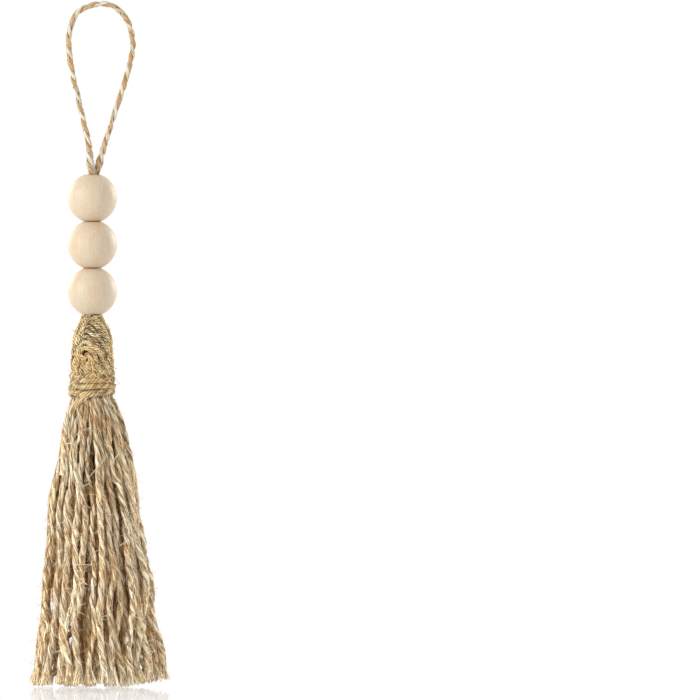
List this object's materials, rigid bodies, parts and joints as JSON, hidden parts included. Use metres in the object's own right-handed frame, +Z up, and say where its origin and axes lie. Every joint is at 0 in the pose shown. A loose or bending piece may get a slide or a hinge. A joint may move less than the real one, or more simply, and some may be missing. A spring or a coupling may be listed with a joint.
{
  "type": "beaded jute tassel",
  "caption": "Hanging tassel: twisted strands bound at the neck below a folded head, with round wooden beads threaded on a thin cord loop above it.",
  "frame": {"origin": "centre of the bottom of the box round the tassel, neck wrap and beads, on the surface that the skirt's strand ends stand on", "axes": "+Z up along the tassel from the skirt's foot to the hanging loop; +X to the right and +Y away, seen from the front, where the loop opens flat to the viewer"},
  "size_m": [0.0478, 0.0475, 0.2491],
  "materials": {
    "jute": "rough 2-ply jute twine, pale straw to brown, hairy",
    "jute_cord": "thin 2-ply jute cord, golden tan, slightly hairy",
    "pale_wood": "unfinished sanded pale wood, matte, faint fine grain"
  },
  "bodies": {
    "root": {"tassel": "jute", "neck_wrap": "jute", "bead_bottom": "pale_wood", "bead_middle": "pale_wood", "bead_top": "pale_wood", "hanging_cord": "jute_cord"}
  },
  "joints": []
}
